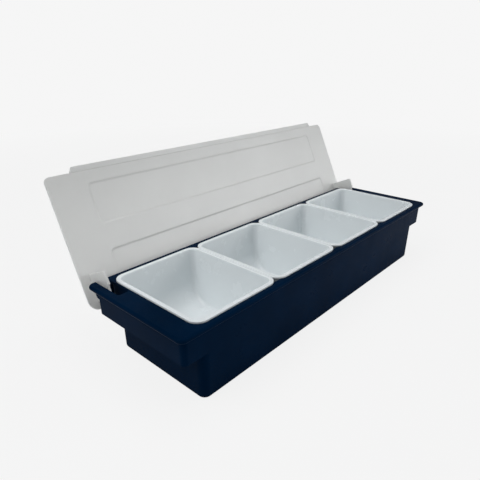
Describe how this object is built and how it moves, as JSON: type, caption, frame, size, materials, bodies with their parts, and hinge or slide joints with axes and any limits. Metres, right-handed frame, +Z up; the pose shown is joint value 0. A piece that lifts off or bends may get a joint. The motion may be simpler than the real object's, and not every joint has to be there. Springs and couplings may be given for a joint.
{
  "type": "condiment caddy",
  "caption": "Long dark plastic bar caddy with a row of lift-out white square inserts and a frosted lid hinged along the back, standing open.",
  "frame": {"origin": "middle of the tray's flat bottom, on the table", "axes": "+X along the row of inserts, +Y from the front to the hinge side, +Z up"},
  "size_m": [0.4998, 0.2081, 0.1897],
  "materials": {
    "tray_plastic": "moulded, slightly glossy, very dark navy",
    "lid_plastic": "frosted, translucent grey white",
    "insert_plastic": "smooth, opaque white"
  },
  "bodies": {
    "tray": {"tray": "tray_plastic"},
    "lid": {"lid": "lid_plastic"},
    "insert_1": {"insert_1": "insert_plastic"},
    "insert_2": {"insert_2": "insert_plastic"},
    "insert_3": {"insert_3": "insert_plastic"},
    "insert_4": {"insert_4": "insert_plastic"}
  },
  "joints": [
    {"name": "lid_hinge", "type": "hinge", "parent": "tray", "child": "lid", "pos_m": [0, 0.0643, 0.0733], "axis": [-1, 0, 0], "range_deg": [-115.5, 0]},
    {"name": "insert_1_lift", "type": "slide", "parent": "tray", "child": "insert_1", "axis": [0, 0, 1], "range_m": [0, 0.1]},
    {"name": "insert_2_lift", "type": "slide", "parent": "tray", "child": "insert_2", "axis": [0, 0, 1], "range_m": [0, 0.1]},
    {"name": "insert_3_lift", "type": "slide", "parent": "tray", "child": "insert_3", "axis": [0, 0, 1], "range_m": [0, 0.1]},
    {"name": "insert_4_lift", "type": "slide", "parent": "tray", "child": "insert_4", "axis": [0, 0, 1], "range_m": [0, 0.1]}
  ]
}
